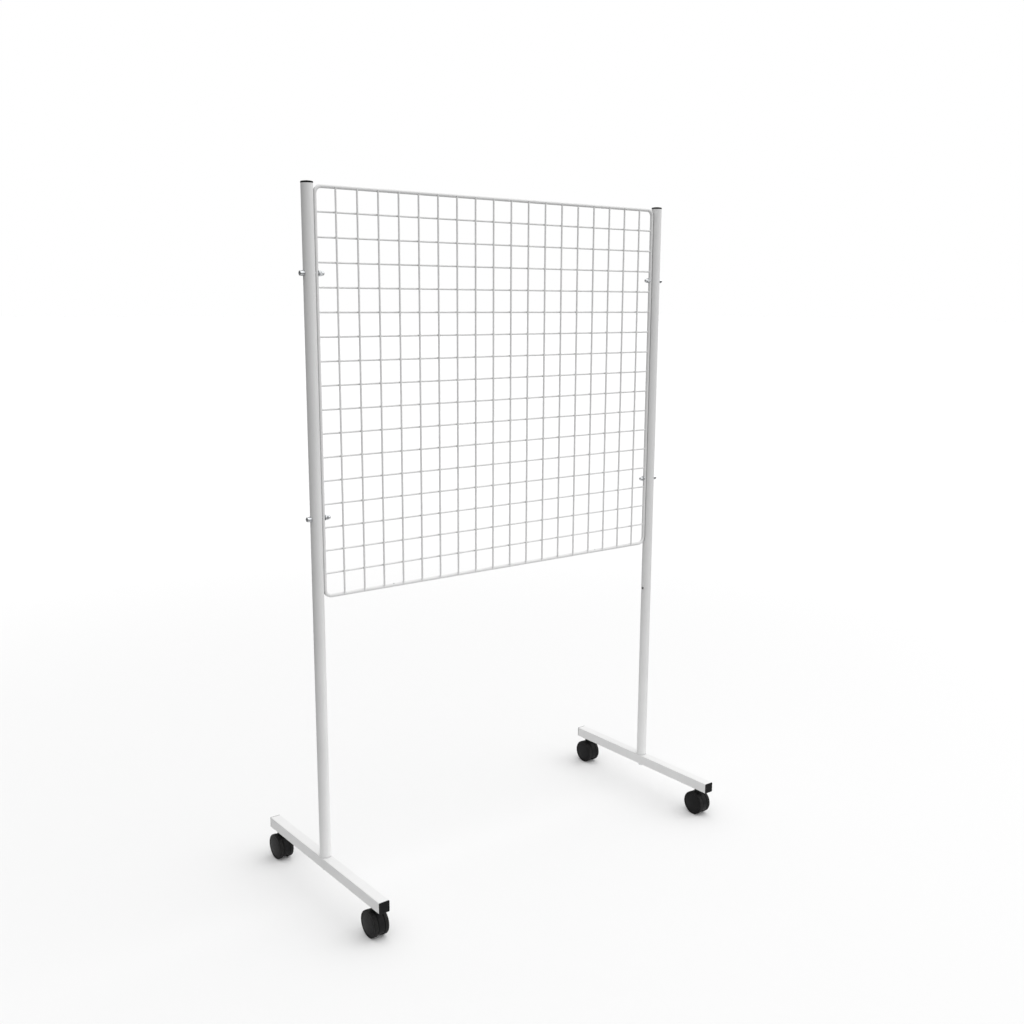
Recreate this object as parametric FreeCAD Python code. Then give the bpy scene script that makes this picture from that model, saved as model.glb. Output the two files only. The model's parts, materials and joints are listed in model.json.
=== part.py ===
import FreeCAD, Part
import math
import os

V = FreeCAD.Vector
X_AXIS = V(1, 0, 0)
Z_AXIS = V(0, 0, 1)

# Mobile wire grid panel. Millimetres. +Z is up, X runs along the panel, -Y is the front.
# The origin is on the floor, under the middle of the stand.

# ---- driving dimensions: the stand ----
post_spacing = 975.0
post_length = 1450.0
post_d = 25.0
post_wall = 1.5
foot_length = 500.0
foot_width = 25.0
foot_wall = 1.5
foot_corner_r = 2.0

# ---- driving dimensions: the grid panel ----
frame_height = 858.0
frame_tube_d = 8.0
frame_wall = 1.5
frame_bend_r = 15.0
wire_d = 4.0
mesh_pitch = 50.0
level_wire_y = 0.6
upright_wire_short = 1.5
bolt_spacing = 506.0
spare_hole_drop = 297.0
frame_hole_cells = 6
frame_hole_d = 5.2

# ---- driving dimensions: the panel fasteners ----
bolt_d = 6.0
bolt_hole_clearance = 0.4
bolt_head_d = 11.0
bolt_head_h = 8.0
bolt_head_round = 2.0
bolt_key = 5.0
bolt_key_depth = 4.0
washer_d = 12.0
washer_t = 1.6
cap_nut_af = 10.0
cap_nut_hex_h = 5.5
cap_nut_h = 12.0
cap_nut_dome_d = 9.5
cap_nut_bottom = 1.5
spare_hole_d = 7.0

# ---- driving dimensions: plastic caps ----
post_cap_t = 2.5
post_cap_dome = 2.5
post_cap_lip = 0.2
post_cap_plug = 18.0
foot_cap_t = 2.0
foot_cap_edge = 0.8
foot_cap_plug = 15.0
cap_wall = 1.8
cap_fit = 0.1
cap_lead_in = 1.5
cap_lead_step = 0.5
dome_steps = 10

# ---- driving dimensions: the joint between post and foot ----
foot_bolt_d = 8.0
foot_bolt_hole_clearance = 0.5
foot_bolt_head_af = 13.0
foot_bolt_head_h = 5.3
foot_washer_d = 16.0
foot_washer_t = 1.6
post_plug_length = 24.0
thread_engagement = 18.0

# ---- driving dimensions: the casters ----
wheel_d = 60.0
wheel_width = 9.5
wheel_rim = 3.0
wheel_web = 2.4
wheel_hub_d = 14.0
wheel_edge_r = 1.6
wheel_side_gap = 0.5
cover_d = 48.0
cover_t = 2.0
cover_dome = 1.2
cover_edge = 0.6
cover_fit = 0.05
axle_d = 6.0
axle_chamfer = 0.5
axle_end_gap = 0.1
hub_floor = 1.0
snap_groove_from_end = 1.4
snap_groove_w = 1.4
snap_groove_depth = 0.3
snap_ridge_w = 1.0
running_clearance = 0.05
axle_drop = 38.0
caster_trail = 5.0
caster_inset = 33.0
hood_width = 15.0
hood_r = 29.4
hood_edge_r = 1.2
hood_skirt = 17.0
hood_tail_angle = 20.0
hood_neck_d = 21.0
hood_top_gap = 1.0
neck_wheel_gap = 1.0
stem_d = 8.0
stem_length = 21.0
stem_collar_af = 13.0
stem_collar_h = 3.5
stem_collar_room = 0.5
stem_thrust_gap = 0.1
stem_tip_room = 0.5
stem_tip_chamfer = 0.8
square_nut_side = 13.0
square_nut_h = 6.5
stem_thread_past_nut = 2.0
clip_from_tip = 4.0
clip_t = 1.2
clip_bite = 0.6
clip_out = 1.0
clip_room = 0.4
clip_gap_angle = 60.0

# ---- worked out from the driving dimensions ----
wheel_r = wheel_d / 2.0
foot_bottom = wheel_r + axle_drop
foot_top = foot_bottom + foot_width
post_top = foot_top + post_length
post_x = post_spacing / 2.0
post_r = post_d / 2.0
frame_r = frame_tube_d / 2.0
frame_side_x = post_x - post_r - frame_r
frame_half_height = frame_height / 2.0 - frame_r
panel_z = post_top - frame_height / 2.0
wire_r = wire_d / 2.0
upright_wire_y = level_wire_y - wire_d
column_count = math.ceil(2.0 * frame_side_x / mesh_pitch - 0.001) - 1
row_count = math.ceil(2.0 * frame_half_height / mesh_pitch - 0.001) - 1
bolt_heights = [panel_z + bolt_spacing / 2.0, panel_z - bolt_spacing / 2.0]
spare_height = bolt_heights[1] - spare_hole_drop
bolt_hole_d = bolt_d + bolt_hole_clearance
caster_y = foot_length / 2.0 - caster_inset
axle_z = wheel_r
wheel_inner_x = hood_width / 2.0 + wheel_side_gap
hub_bore_depth = wheel_width - cover_t - hub_floor
axle_half_length = wheel_inner_x + hub_bore_depth - axle_end_gap
snap_groove_outer = axle_half_length - snap_groove_from_end


def steps(count):
    """Positions of evenly pitched wires, centred on zero."""
    return [(i - (count - 1) / 2.0) * mesh_pitch for i in range(count)]


def mid_cell(cells, count):
    """Distance from the panel's centre to the middle of a cell, about cells pitches out."""
    shift = 0.0 if count % 2 == 0 else mesh_pitch / 2.0
    return cells * mesh_pitch + shift


frame_hole_x = mid_cell(frame_hole_cells, column_count)


# ---- small helpers ----
def cylinder(radius, length, base, axis=Z_AXIS):
    return Part.makeCylinder(radius, length, base, axis)


def hexagon(across_flats, height, base, axis=Z_AXIS):
    """A hexagonal prism standing on base, with its length along axis."""
    corner_r = across_flats / math.sqrt(3.0)
    points = []
    for i in range(7):
        angle = math.radians(60.0 * i)
        points.append(V(corner_r * math.cos(angle), corner_r * math.sin(angle), 0))
    prism = Part.Face(Part.makePolygon(points)).extrude(V(0, 0, height))
    prism.Placement = FreeCAD.Placement(base, FreeCAD.Rotation(Z_AXIS, axis))
    return prism


def turned(profile, base, axis=Z_AXIS):
    """A solid of revolution: profile is a closed list of (radius, height) points."""
    points = [V(r, 0, h) for r, h in profile]
    points.append(points[0])
    solid = Part.Face(Part.makePolygon(points)).revolve(V(0, 0, 0), Z_AXIS, 360)
    solid.Placement = FreeCAD.Placement(base, FreeCAD.Rotation(Z_AXIS, axis))
    return solid


def arc_points(radius, height, start_angle, end_angle, centre_r, count=8):
    """Points on a round of a turned profile, about a centre at (centre_r, height)."""
    points = []
    for i in range(count + 1):
        angle = math.radians(start_angle + (end_angle - start_angle) * i / count)
        points.append((centre_r + radius * math.cos(angle), height + radius * math.sin(angle)))
    return points


def square_bar(side, corner_r, length, y_start):
    """A bar along +Y with rounded long edges, centred on X and Z zero."""
    half = side / 2.0
    bar = Part.makeBox(side, length, side, V(-half, y_start, -half))
    long_edges = [e for e in bar.Edges if abs(e.tangentAt(e.FirstParameter).y) > 0.99]
    return bar.makeFillet(corner_r, long_edges)


def moved(shape, offset):
    copy = shape.copy()
    copy.translate(offset)
    return copy


def group(shapes):
    return Part.makeCompound(shapes)


nodes = {}


# ---- posts, with the plug that takes the foot bolt ----
def make_post(side):
    """A tube on side -1 or 1, with bolt holes right through and one hole in the inner wall."""
    axis_point = V(side * post_x, 0, foot_top)
    post = cylinder(post_r, post_length, axis_point)
    post = post.cut(cylinder(post_r - post_wall, post_length, axis_point))
    inner_face = side * (post_x - post_r - frame_r)
    for height in bolt_heights:
        start = V(inner_face, 0, height)
        post = post.cut(cylinder(bolt_hole_d / 2.0, 2 * post_d, start, V(side, 0, 0)))
    spare_start = V(inner_face, 0, spare_height)
    return post.cut(cylinder(spare_hole_d / 2.0, frame_r + post_r, spare_start, V(side, 0, 0)))


def make_post_plug(side):
    """A steel slug in the post's lower end, tapped for the foot bolt."""
    base = V(side * post_x, 0, foot_top)
    plug = cylinder(post_r - post_wall, post_plug_length, base)
    return plug.cut(cylinder(foot_bolt_d / 2.0, thread_engagement, base))


def make_post_cap(side):
    """A domed cap with a thin rim and a hollow plug that fits inside the tube."""
    rim_r = post_r + post_cap_lip
    bore_r = post_r - post_wall - cap_fit
    profile = [(0, 0), (bore_r - cap_wall, 0), (bore_r - cap_wall, -post_cap_plug),
               (bore_r - cap_lead_step, -post_cap_plug), (bore_r, -post_cap_plug + cap_lead_in),
               (bore_r, 0), (rim_r, 0), (rim_r, post_cap_t)]
    for i in range(1, dome_steps + 1):
        angle = math.radians(90.0 * i / dome_steps)
        profile.append((rim_r * math.cos(angle), post_cap_t + post_cap_dome * math.sin(angle)))
    return turned(profile, V(side * post_x, 0, post_top))


# ---- feet ----
def make_foot(side):
    """A square tube along Y, drilled for the foot bolt and for a caster stem near each end."""
    start = -foot_length / 2.0
    tube = square_bar(foot_width, foot_corner_r, foot_length, start)
    inner_corner_r = max(foot_corner_r - foot_wall, 0.3)
    tube = tube.cut(square_bar(foot_width - 2 * foot_wall, inner_corner_r, foot_length, start))
    foot = moved(tube, V(side * post_x, 0, foot_bottom + foot_width / 2.0))
    bolt_hole_r = (foot_bolt_d + foot_bolt_hole_clearance) / 2.0
    foot = foot.cut(cylinder(bolt_hole_r, foot_width, V(side * post_x, 0, foot_bottom)))
    for y in (-caster_y, caster_y):
        base = V(side * post_x, y, foot_bottom)
        foot = foot.cut(cylinder(stem_d / 2.0, foot_width / 2.0, base))
    return foot


def make_foot_cap(side, end):
    """A square end cap: a flat flange over the tube's end and a hollow plug inside it."""
    flange = square_bar(foot_width, foot_corner_r, foot_cap_t, 0)
    outer_rim = [e for e in flange.Edges if e.BoundBox.YMin > foot_cap_t - 0.01]
    flange = flange.makeChamfer(foot_cap_edge, outer_rim)
    plug_side = foot_width - 2 * foot_wall - 2 * cap_fit
    plug_corner_r = max(foot_corner_r - foot_wall, 0.3)
    plug = square_bar(plug_side, plug_corner_r, foot_cap_plug, -foot_cap_plug)
    hollow = square_bar(plug_side - 2 * cap_wall, plug_corner_r, foot_cap_plug, -foot_cap_plug)
    cap = flange.fuse(plug.cut(hollow)).removeSplitter()
    if end < 0:
        cap.rotate(V(0, 0, 0), Z_AXIS, 180)
    offset = V(side * post_x, end * foot_length / 2.0, foot_bottom + foot_width / 2.0)
    return moved(cap, offset)


def make_foot_bolt(side):
    """A hexagon bolt from under the foot, up through it into the post's plug."""
    seat = V(side * post_x, 0, foot_bottom - foot_washer_t)
    shank = cylinder(foot_bolt_d / 2.0, foot_washer_t + foot_width + thread_engagement, seat)
    head = hexagon(foot_bolt_head_af, foot_bolt_head_h, seat - V(0, 0, foot_bolt_head_h))
    return shank.fuse(head)


def make_foot_washer(side):
    base = V(side * post_x, 0, foot_bottom - foot_washer_t)
    disc = cylinder(foot_washer_d / 2.0, foot_washer_t, base)
    return disc.cut(cylinder((foot_bolt_d + foot_bolt_hole_clearance) / 2.0, foot_washer_t, base))


# ---- panel frame and mesh: four straight tubes and four bends, welded end to end ----
def make_level_tube(level):
    """The frame's top or bottom tube (level 1 or -1), with two holes straight up through it."""
    run = frame_side_x - frame_bend_r
    height = panel_z + level * frame_half_height
    tube = cylinder(frame_r, 2 * run, V(-run, 0, height), X_AXIS)
    tube = tube.cut(cylinder(frame_r - frame_wall, 2 * run, V(-run, 0, height), X_AXIS))
    for x in (-frame_hole_x, frame_hole_x):
        tube = tube.cut(cylinder(frame_hole_d / 2.0, 2 * frame_tube_d, V(x, 0, height - frame_tube_d)))
    return tube


def make_side_tube(side):
    """The frame's tube beside one post, with holes across it for the panel bolts."""
    run = frame_half_height - frame_bend_r
    base = V(side * frame_side_x, 0, panel_z - run)
    tube = cylinder(frame_r, 2 * run, base)
    tube = tube.cut(cylinder(frame_r - frame_wall, 2 * run, base))
    for height in bolt_heights:
        start = V(side * (frame_side_x - frame_tube_d), 0, height)
        tube = tube.cut(cylinder(bolt_hole_d / 2.0, 2 * frame_tube_d, start, V(side, 0, 0)))
    return tube


def make_bend(side, level):
    """A quarter turn of tube at one corner of the frame."""
    bend = Part.makeTorus(frame_bend_r, frame_r, V(0, 0, 0), Z_AXIS, -180, 180, 90)
    bend = bend.cut(Part.makeTorus(frame_bend_r, frame_r - frame_wall, V(0, 0, 0), Z_AXIS, -180, 180, 90))
    turns = {(1, 1): 0, (-1, 1): 90, (-1, -1): 180, (1, -1): 270}
    bend.rotate(V(0, 0, 0), Z_AXIS, turns[side, level])
    bend.rotate(V(0, 0, 0), X_AXIS, 90)
    x = side * (frame_side_x - frame_bend_r)
    return moved(bend, V(x, 0, panel_z + level * (frame_half_height - frame_bend_r)))


def make_wires(vertical):
    """One set of straight wires, each let into the frame tube at both ends."""
    wires = []
    half_run = frame_half_height - upright_wire_short if vertical else frame_side_x
    end_bars = []
    for s in (-1, 1):
        if vertical:
            bar_start = V(-frame_side_x, 0, panel_z + s * frame_half_height)
            end_bars.append(cylinder(frame_r, 2 * frame_side_x, bar_start, X_AXIS))
        else:
            bar_start = V(s * frame_side_x, 0, panel_z - frame_half_height)
            end_bars.append(cylinder(frame_r, 2 * frame_half_height, bar_start, Z_AXIS))
    for place in steps(column_count if vertical else row_count):
        if vertical:
            start = V(place, upright_wire_y, panel_z - half_run)
            wire = cylinder(wire_r, 2 * half_run, start, Z_AXIS)
        else:
            start = V(-half_run, level_wire_y, panel_z + place)
            wire = cylinder(wire_r, 2 * half_run, start, X_AXIS)
        wires.append(wire.cut(end_bars[0]).cut(end_bars[1]))
    return group([w.Solids[0] for w in wires])


# ---- panel fasteners, drawn along X from the middle of the stand outwards ----
inner_seat_x = frame_side_x - frame_r
outer_seat_x = post_x + post_r


def panel_fastener_places():
    return [(side, height) for side in (-1, 1) for height in bolt_heights]


def make_bolt(side, height):
    """A bolt with a smooth round head outside the post and its thread inside the cap nut."""
    out = V(side, 0, 0)
    head_base = V(side * (outer_seat_x + washer_t), 0, height)
    top_r = bolt_head_d / 2.0
    profile = [(0, 0), (top_r, 0)]
    profile += arc_points(bolt_head_round, bolt_head_h - bolt_head_round, 0, 90, top_r - bolt_head_round)
    profile.append((0, bolt_head_h))
    head = turned(profile, head_base, out)
    key_base = V(side * (outer_seat_x + washer_t + bolt_head_h - bolt_key_depth), 0, height)
    head = head.cut(hexagon(bolt_key, bolt_key_depth, key_base, out))
    tip_x = inner_seat_x - washer_t - (cap_nut_h - cap_nut_bottom - bolt_d / 2.0)
    shank_length = outer_seat_x + washer_t - tip_x
    shank = cylinder(bolt_d / 2.0, shank_length, V(side * tip_x, 0, height), out)
    return head.fuse(shank)


def make_washer(side, height, x):
    """A flat washer whose inner face is at x, counted outwards."""
    base = V(side * x, 0, height)
    disc = cylinder(washer_d / 2.0, washer_t, base, V(side, 0, 0))
    return disc.cut(cylinder(bolt_hole_d / 2.0, washer_t, base, V(side, 0, 0)))


def make_cap_nut(side, height):
    """A domed nut: a hexagon, then a round dome that closes the thread's end."""
    inward = V(-side, 0, 0)
    base = V(side * (inner_seat_x - washer_t), 0, height)
    hex_part = hexagon(cap_nut_af, cap_nut_hex_h, base, inward)
    dome_r = cap_nut_dome_d / 2.0
    dome_straight = cap_nut_h - dome_r
    profile = [(0, 0), (dome_r, 0)]
    profile += arc_points(dome_r, dome_straight, 0, 90, 0)
    dome = turned(profile, base, inward)
    bore_length = cap_nut_h - cap_nut_bottom - bolt_d / 2.0
    bore = cylinder(bolt_d / 2.0, bore_length, base, inward)
    return hex_part.fuse(dome).cut(bore).removeSplitter()


# ---- caster pieces, drawn about the stem axis with the foot's underside at z = foot_bottom ----
def make_stem():
    """A stem: thread up through the foot's wall and nut, hexagon collar, then a plain pin."""
    radius = stem_d / 2.0
    thread_top = foot_wall + square_nut_h + stem_thread_past_nut
    thread = cylinder(radius, thread_top, V(0, 0, foot_bottom))
    collar = hexagon(stem_collar_af, stem_collar_h, V(0, 0, foot_bottom - stem_collar_h))
    bottom = -stem_length
    groove_low = bottom + clip_from_tip
    groove_r = radius - clip_bite
    profile = [(0, 0), (radius, 0), (radius, groove_low + clip_t), (groove_r, groove_low + clip_t),
               (groove_r, groove_low), (radius, groove_low), (radius, bottom + stem_tip_chamfer),
               (radius - stem_tip_chamfer, bottom), (0, bottom)]
    pin = turned(profile, V(0, 0, foot_bottom))
    return thread.multiFuse([collar, pin]).removeSplitter()


def make_clip():
    """An open ring that sits in the stem's groove and stops the hood from dropping off."""
    base = V(0, 0, foot_bottom - stem_length + clip_from_tip)
    ring = cylinder(stem_d / 2.0 + clip_out, clip_t, base)
    ring = ring.cut(cylinder(stem_d / 2.0 - clip_bite, clip_t, base))
    half_angle = math.radians(clip_gap_angle / 2.0)
    reach = stem_d
    corners = [V(0, 0, 0), V(reach * math.cos(half_angle), reach * math.sin(half_angle), 0),
               V(reach * math.cos(half_angle), -reach * math.sin(half_angle), 0), V(0, 0, 0)]
    wedge = Part.Face(Part.makePolygon(corners)).extrude(V(0, 0, clip_t))
    return ring.cut(moved(wedge, base))


def make_square_nut():
    half = square_nut_side / 2.0
    base = V(0, 0, foot_bottom + foot_wall)
    block = Part.makeBox(square_nut_side, square_nut_side, square_nut_h, base - V(half, half, 0))
    return block.cut(cylinder(stem_d / 2.0, square_nut_h, base))


def make_hood():
    """The swivelling body: a thick round web between the wheels and a neck up to the foot."""
    centre = V(-hood_width / 2.0, caster_trail, axle_z)
    web = cylinder(hood_r, hood_width, centre, X_AXIS)
    rims = [e for e in web.Edges if e.Closed]
    web = web.makeFillet(hood_edge_r, rims)
    size = 4 * hood_r
    below = Part.makeBox(size, size, size, V(-size / 2, -size / 2, axle_z - hood_skirt - size))
    web = web.cut(below)
    tail = Part.makeBox(size, size, size, V(-size / 2, 0, -size))
    tail.rotate(V(0, 0, 0), X_AXIS, hood_tail_angle)
    hub_r = wheel_hub_d / 2.0
    tail_corner = V(0, caster_trail + hub_r, axle_z + hub_r)
    web = web.cut(moved(tail, tail_corner))
    neck_top = foot_bottom - hood_top_gap
    shoulder_height = wheel_r + neck_wheel_gap
    neck = cylinder(hood_neck_d / 2.0, neck_top - axle_z, V(0, 0, axle_z))
    across = V(-size / 2, -size / 2, axle_z)
    upper = neck.cut(Part.makeBox(size, size, shoulder_height, across))
    between_wheels = V(-hood_width / 2.0, -size / 2, axle_z)
    lower = neck.common(Part.makeBox(hood_width, size, shoulder_height, between_wheels))
    hood = web.multiFuse([upper, lower]).removeSplitter()
    bore_r = stem_d / 2.0 + running_clearance
    bore_length = stem_length + stem_tip_room
    hood = hood.cut(cylinder(bore_r, bore_length, V(0, 0, foot_bottom - bore_length)))
    collar_r = stem_collar_af / math.sqrt(3.0) + stem_collar_room
    collar_depth = stem_collar_h + stem_thrust_gap
    hood = hood.cut(cylinder(collar_r, collar_depth, V(0, 0, foot_bottom - collar_depth)))
    clip_base = foot_bottom - stem_length + clip_from_tip - clip_room
    clip_space = cylinder(stem_d / 2.0 + clip_out + clip_room, clip_t + 2 * clip_room, V(0, 0, clip_base))
    hood = hood.cut(clip_space)
    return hood.cut(cylinder(axle_d / 2.0, hood_width, centre, X_AXIS))


def make_axle():
    """A pin through the hood that carries both wheels, with a snap groove near each end."""
    radius = axle_d / 2.0
    groove_r = radius - snap_groove_depth
    inner = snap_groove_outer - snap_groove_w
    half = [(radius, inner), (groove_r, inner), (groove_r, snap_groove_outer),
            (radius, snap_groove_outer), (radius, axle_half_length - axle_chamfer),
            (radius - axle_chamfer, axle_half_length), (0, axle_half_length)]
    profile = [(r, -h) for r, h in reversed(half)] + half
    return turned(profile, V(0, caster_trail, axle_z), X_AXIS)


def make_wheel(side):
    """A moulded wheel, open towards the hood: tread, rim, web near the outside, and a hub.

    The hub's bore has a low ridge that runs in the axle's snap groove.
    """
    cover_seat_r = cover_d / 2.0 + cover_fit
    rim_inner_r = wheel_r - wheel_rim
    hub_r = wheel_hub_d / 2.0
    web_outer = wheel_width - cover_t
    web_inner = web_outer - wheel_web
    bore_r = axle_d / 2.0 + running_clearance
    ridge_r = bore_r - snap_groove_depth
    groove_middle = snap_groove_outer - snap_groove_w / 2.0 - wheel_inner_x
    ridge_low = groove_middle - snap_ridge_w / 2.0
    ridge_high = groove_middle + snap_ridge_w / 2.0
    profile = [(bore_r, 0), (hub_r, 0), (hub_r, web_inner), (rim_inner_r, web_inner), (rim_inner_r, 0)]
    profile += arc_points(wheel_edge_r, wheel_edge_r, -90, 0, wheel_r - wheel_edge_r)
    profile += arc_points(wheel_edge_r, wheel_width - wheel_edge_r, 0, 90, wheel_r - wheel_edge_r)
    profile += [(cover_seat_r, wheel_width), (cover_seat_r, web_outer), (0, web_outer),
                (0, hub_bore_depth), (bore_r, hub_bore_depth), (bore_r, ridge_high),
                (ridge_r, ridge_high), (ridge_r, ridge_low), (bore_r, ridge_low)]
    return turned(profile, V(side * wheel_inner_x, caster_trail, axle_z), V(side, 0, 0))


def make_cover(side):
    """A shallow domed disc pressed into the wheel's outer face."""
    radius = cover_d / 2.0
    dome_base_r = radius - cover_edge
    profile = [(0, 0), (radius, 0), (radius, cover_t - cover_edge), (dome_base_r, cover_t)]
    for i in range(1, dome_steps + 1):
        fraction = i / dome_steps
        rise = cover_dome * math.sin(fraction * math.pi / 2)
        profile.append((dome_base_r * (1 - fraction), cover_t + rise))
    base = V(side * (wheel_inner_x + wheel_width - cover_t), caster_trail, axle_z)
    return turned(profile, base, V(side, 0, 0))


# ---- put the pieces together ----
side_names = {-1: "left", 1: "right"}
end_names = {-1: "front", 1: "rear"}

for side, side_name in side_names.items():
    nodes[side_name + "_post"] = make_post(side)
    nodes[side_name + "_post_cap"] = make_post_cap(side)
    nodes[side_name + "_foot"] = make_foot(side)
    for end, end_name in end_names.items():
        nodes[f"{end_name}_{side_name}_foot_cap"] = make_foot_cap(side, end)

nodes["post_plugs"] = group([make_post_plug(s) for s in side_names])
nodes["foot_bolts"] = group([make_foot_bolt(s) for s in side_names])
nodes["foot_bolt_washers"] = group([make_foot_washer(s) for s in side_names])

nodes["panel_top_tube"] = make_level_tube(1)
nodes["panel_bottom_tube"] = make_level_tube(-1)
nodes["panel_left_tube"] = make_side_tube(-1)
nodes["panel_right_tube"] = make_side_tube(1)
nodes["panel_bends"] = group([make_bend(s, level) for s in side_names for level in (-1, 1)])
nodes["vertical_wires"] = make_wires(vertical=True)
nodes["horizontal_wires"] = make_wires(vertical=False)

places = panel_fastener_places()
nodes["panel_bolts"] = group([make_bolt(s, h) for s, h in places])
nodes["bolt_head_washers"] = group([make_washer(s, h, outer_seat_x) for s, h in places])
nodes["cap_nut_washers"] = group([make_washer(s, h, inner_seat_x - washer_t) for s, h in places])
nodes["cap_nuts"] = group([make_cap_nut(s, h) for s, h in places])

caster_offsets = {}
for side, side_name in side_names.items():
    for end, end_name in end_names.items():
        caster_offsets[f"{end_name}_{side_name}"] = V(side * post_x, end * caster_y, 0)

square_nut = make_square_nut()
nodes["caster_nuts"] = group([moved(square_nut, o) for o in caster_offsets.values()])

caster_pieces = {"stem": make_stem(), "clip": make_clip(), "hood": make_hood(), "axle": make_axle()}
for side, side_name in side_names.items():
    caster_pieces[side_name + "_wheel"] = make_wheel(side)
    caster_pieces[side_name + "_cover"] = make_cover(side)

for caster_name, offset in caster_offsets.items():
    for piece_name, shape in caster_pieces.items():
        nodes[f"{caster_name}_{piece_name}"] = moved(shape, offset)


# ---- check and write ----
os.makedirs("parts", exist_ok=True)
for name, shape in nodes.items():
    if not shape.isValid():
        raise RuntimeError(name + " is not a valid shape")
    if any(solid.Volume <= 0 for solid in shape.Solids) or not shape.Solids:
        raise RuntimeError(name + " has no proper solid")
    shape.exportStep(f"parts/{name}.step")
    print(name, len(shape.Solids), round(shape.Volume, 1))
print(len(nodes), "nodes")
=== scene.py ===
import json
import math

import bmesh
import bpy
import numpy as np
from bpy.props import FloatProperty, FloatVectorProperty, IntProperty, PointerProperty
from mathutils import Matrix, Vector


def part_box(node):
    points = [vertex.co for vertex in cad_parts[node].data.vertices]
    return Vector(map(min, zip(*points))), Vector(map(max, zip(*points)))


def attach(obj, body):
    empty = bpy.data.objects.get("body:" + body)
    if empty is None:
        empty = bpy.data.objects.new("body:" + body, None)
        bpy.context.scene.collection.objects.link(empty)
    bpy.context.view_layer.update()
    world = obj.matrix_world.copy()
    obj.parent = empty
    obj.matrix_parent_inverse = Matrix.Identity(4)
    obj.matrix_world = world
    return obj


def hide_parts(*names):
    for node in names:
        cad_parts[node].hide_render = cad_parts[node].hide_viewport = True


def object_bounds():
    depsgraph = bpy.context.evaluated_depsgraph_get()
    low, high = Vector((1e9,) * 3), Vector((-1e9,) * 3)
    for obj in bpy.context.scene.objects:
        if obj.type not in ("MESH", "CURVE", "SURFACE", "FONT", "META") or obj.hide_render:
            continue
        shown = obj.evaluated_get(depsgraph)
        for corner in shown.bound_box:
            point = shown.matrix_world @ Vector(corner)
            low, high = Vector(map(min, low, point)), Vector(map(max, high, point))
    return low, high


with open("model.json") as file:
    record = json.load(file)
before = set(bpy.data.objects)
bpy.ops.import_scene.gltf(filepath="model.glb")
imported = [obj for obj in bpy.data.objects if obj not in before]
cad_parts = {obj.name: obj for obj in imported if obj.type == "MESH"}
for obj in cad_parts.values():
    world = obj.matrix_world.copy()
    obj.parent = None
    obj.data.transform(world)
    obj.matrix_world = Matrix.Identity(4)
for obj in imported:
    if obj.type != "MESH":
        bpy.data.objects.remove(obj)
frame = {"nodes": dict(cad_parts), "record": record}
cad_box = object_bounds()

bl_info = {
    "name": "Grid Panel Dresser",
    "version": (1, 0, 0),
    "blender": (4, 5, 0),
    "location": "3D View > Sidebar > Grid Panel",
    "description": "Finishes, welds, fasteners, caps and caster wheels for a mobile wire grid panel",
    "category": "Object",
}

MM = 0.001
MERGE_DISTANCE = 0.002 * MM
LEFT, RIGHT = -1, 1
SIDES = {"left": LEFT, "right": RIGHT}
ENDS = {"front": -1, "rear": 1}
UP = (0, 0, 1)
DOWN = (0, 0, -1)
WHITE = (1.0, 1.0, 1.0, 1)


# ---------------------------------------------------------------- sizes read from the frame
def low(node):
    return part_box(node)[0]


def high(node):
    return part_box(node)[1]


def middle(node):
    lowest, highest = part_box(node)
    return (lowest + highest) / 2


def outermost_pair(node, axis, width):
    """Centres of the first and last of a row of like pieces, each `width` wide, in one node."""
    lowest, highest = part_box(node)
    return lowest[axis] + width / 2, highest[axis] - width / 2


def inner_end(node):
    """How near the middle of the stand the pieces in one node reach."""
    mesh = frame["nodes"][node].data
    points = np.empty(len(mesh.vertices) * 3, np.float32)
    mesh.vertices.foreach_get("co", points)
    return float(np.abs(points[0::3]).min())


def evenly_pitched(first, last, pitch):
    count = int(round((last - first) / pitch)) + 1
    return np.linspace(first, last, count)


CHAMFER_ANGLE = 30
MESH_PITCH = 50 * MM
WIRE_R = (high("vertical_wires").y - low("vertical_wires").y) / 2
FRAME_R = (high("panel_top_tube").y - low("panel_top_tube").y) / 2
TOP_TUBE_Z = middle("panel_top_tube").z
BOTTOM_TUBE_Z = middle("panel_bottom_tube").z
SIDE_TUBE_X = middle("panel_right_tube").x
UPRIGHT_Y = middle("vertical_wires").y
LEVEL_Y = middle("horizontal_wires").y
UPRIGHT_XS = evenly_pitched(*outermost_pair("vertical_wires", 0, 2 * WIRE_R), MESH_PITCH)
LEVEL_ZS = evenly_pitched(*outermost_pair("horizontal_wires", 2, 2 * WIRE_R), MESH_PITCH)
POST_R = (high("left_post").y - low("left_post").y) / 2
POST_TOP = high("left_post").z
POST_X = middle("right_post").x
WASHER_R = (high("bolt_head_washers").y - low("bolt_head_washers").y) / 2
BOLT_ZS = outermost_pair("bolt_head_washers", 2, 2 * WASHER_R)
HEAD_WASHER_OUT = high("bolt_head_washers").x
NUT_WASHER_OUT = high("cap_nut_washers").x
WASHER_T = HEAD_WASHER_OUT - (POST_X + POST_R)
BOLT_END = high("panel_bolts").x
BOLT_HEAD_R = (high("panel_bolts").y - low("panel_bolts").y) / 2
CAP_NUT_FLATS = high("cap_nuts").y - low("cap_nuts").y
FOOT_BOLT_TOP = low("foot_bolt_washers").z
FOOT_BOLT_LOW = low("foot_bolts").z
FOOT_BOLT_FLATS = high("foot_bolts").y - low("foot_bolts").y
FOOT_WASHER_R = (high("foot_bolt_washers").y - low("foot_bolt_washers").y) / 2
FOOT_BOTTOM = low("left_foot").z
FOOT_SIDE = high("left_foot").z - FOOT_BOTTOM
FOOT_END = high("left_foot").y
WHEEL_R = high("front_left_left_wheel").z / 2
WHEEL_WIDTH = high("front_left_left_wheel").x - low("front_left_left_wheel").x
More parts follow.
